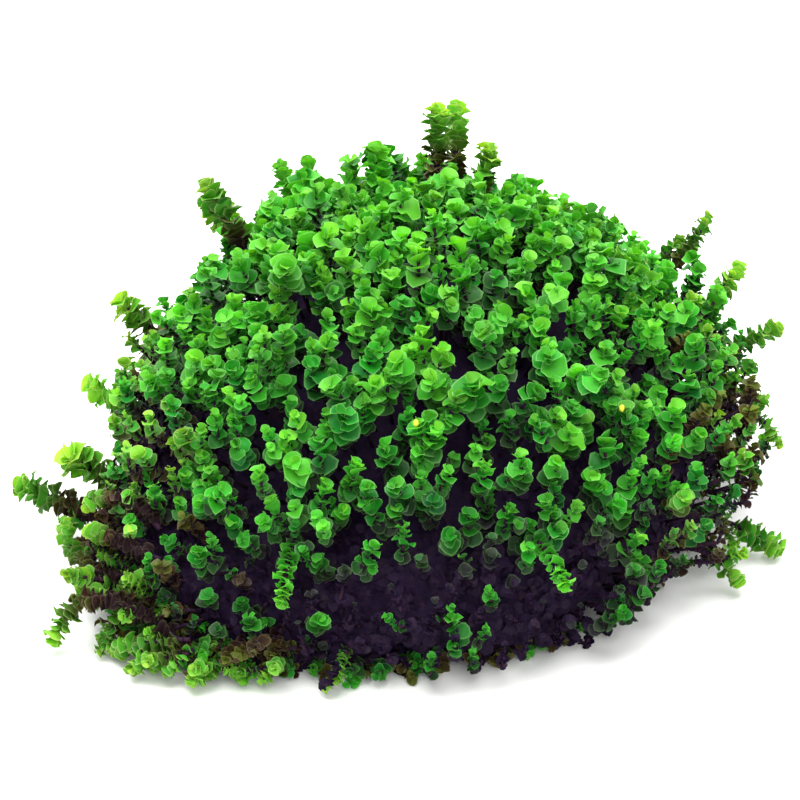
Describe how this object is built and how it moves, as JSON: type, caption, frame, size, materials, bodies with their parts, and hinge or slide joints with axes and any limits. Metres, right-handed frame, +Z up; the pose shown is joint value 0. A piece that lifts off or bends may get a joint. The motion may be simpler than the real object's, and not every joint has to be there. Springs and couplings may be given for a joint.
{
  "type": "leafy liverwort cushion",
  "caption": "Domed cushion of upright leafy liverwort shoots on a flat foot, with loose scaly shoots standing and trailing clear of it.",
  "frame": {"origin": "middle of the flat foot that the cushion rests on", "axes": "+Z up through the crown, -Y towards the side seen in the picture"},
  "size_m": [0.1138, 0.107, 0.0539],
  "materials": {
    "liverwort_green": "moist, softly glossy living leaf",
    "young_leaf_green": "moist, softly glossy living leaf",
    "old_leaf_brown": "dull old leaf and stem"
  },
  "bodies": {
    "root": {"cushion": "liverwort_green", "shoot_back_01": "young_leaf_green", "shoot_back_02": "old_leaf_brown", "shoot_back_03": "young_leaf_green", "shoot_back_04": "old_leaf_brown", "shoot_back_05": "young_leaf_green", "shoot_back_06": "old_leaf_brown", "shoot_back_07": "young_leaf_green", "shoot_back_08": "old_leaf_brown", "shoot_back_09": "young_leaf_green", "shoot_brow_inner": "young_leaf_green", "shoot_brow_outer": "young_leaf_green", "shoot_corner_drooping": "old_leaf_brown", "shoot_corner_low": "young_leaf_green", "shoot_corner_upper": "young_leaf_green", "shoot_crown_cone": "young_leaf_green", "shoot_crown_left": "old_leaf_brown", "shoot_crown_right": "old_leaf_brown", "shoot_crown_short": "old_leaf_brown", "shoot_front_dark": "old_leaf_brown", "shoot_front_hanging_left": "young_leaf_green", "shoot_front_hanging_right": "young_leaf_green", "shoot_front_left_inner": "old_leaf_brown", "shoot_front_left_outer": "young_leaf_green", "shoot_left_curled": "old_leaf_brown", "shoot_left_far": "old_leaf_brown", "shoot_left_high": "old_leaf_brown", "shoot_left_low": "old_leaf_brown", "shoot_left_middle": "young_leaf_green", "shoot_right_drooping": "young_leaf_green", "shoot_right_high": "young_leaf_green", "shoot_right_low": "young_leaf_green", "shoot_right_reaching": "old_leaf_brown", "shoot_right_trailing": "old_leaf_brown", "shoot_shoulder_left": "old_leaf_brown", "shoot_shoulder_right": "old_leaf_brown"}
  },
  "joints": []
}
